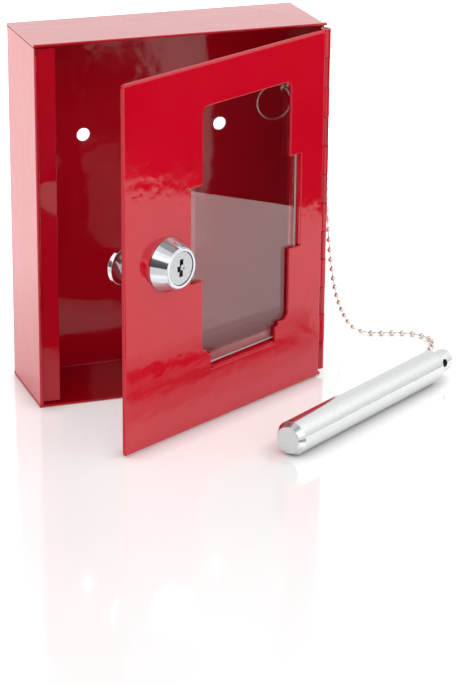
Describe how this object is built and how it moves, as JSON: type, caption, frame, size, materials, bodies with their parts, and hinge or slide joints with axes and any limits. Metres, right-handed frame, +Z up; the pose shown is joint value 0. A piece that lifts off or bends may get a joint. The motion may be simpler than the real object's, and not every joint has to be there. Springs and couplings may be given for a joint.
{
  "type": "break glass key box",
  "caption": "Small wall-mounted steel key box with a glazed hinged door, cam lock, wall-screw holes and a striker on a ball chain for breaking the pane.",
  "frame": {"origin": "centre of the box's bottom face", "axes": "+X towards the hinge side, +Y towards the wall, +Z up; the door opens towards -Y"},
  "size_m": [0.182, 0.1229, 0.15],
  "materials": {
    "box_paint": "gloss red powder coat with a slight orange peel",
    "door_paint": "gloss red powder coat with a slight orange peel",
    "glass": "clear polished pane with ground edges",
    "lock_chrome": "bright chrome over die-cast zinc",
    "lock_satin": "satin nickel, fine grain",
    "cam_steel": "bright zinc-plated steel",
    "wafer_brass": "stamped brass",
    "spring_steel": "bright spring wire",
    "chain_nickel": "nickel-plated balls and wire",
    "striker_zinc": "turned steel, bright zinc plate, slightly mottled"
  },
  "bodies": {
    "box": {"body_wrap": "box_paint", "left_side_panel": "box_paint", "right_side_panel": "box_paint", "hinge_pin": "box_paint", "chain_end_link": "chain_nickel", "retaining_ring": "chain_nickel", "chain": "chain_nickel", "striker": "striker_zinc", "striker_ferrule": "striker_zinc"},
    "door": {"door_panel": "door_paint", "lock_collar": "lock_chrome", "lock_housing": "lock_chrome", "lock_nut": "cam_steel"},
    "lock_rotor": {"lock_plug": "lock_satin", "wafer_tumblers": "wafer_brass", "wafer_springs": "spring_steel", "stop_washer": "cam_steel", "cam": "cam_steel", "cam_lock_washer": "spring_steel", "cam_screw": "cam_steel"},
    "pane": {"glass_pane": "glass"}
  },
  "joints": [
    {"name": "door_hinge", "type": "hinge", "parent": "box", "child": "door", "pos_m": [0.0609, -0.0193, 0.075], "axis": [0, 0, 1], "range_deg": [-29.5, 25]},
    {"name": "key_turn", "type": "hinge", "parent": "door", "child": "lock_rotor", "pos_m": [-0.02168, -0.06849, 0.0729], "axis": [0.4924, -0.8704, 0], "range_deg": [-90, 0]},
    {"name": "pane_lift", "type": "slide", "parent": "door", "child": "pane", "axis": [0, 0, 1], "range_m": [0, 0.012]}
  ]
}
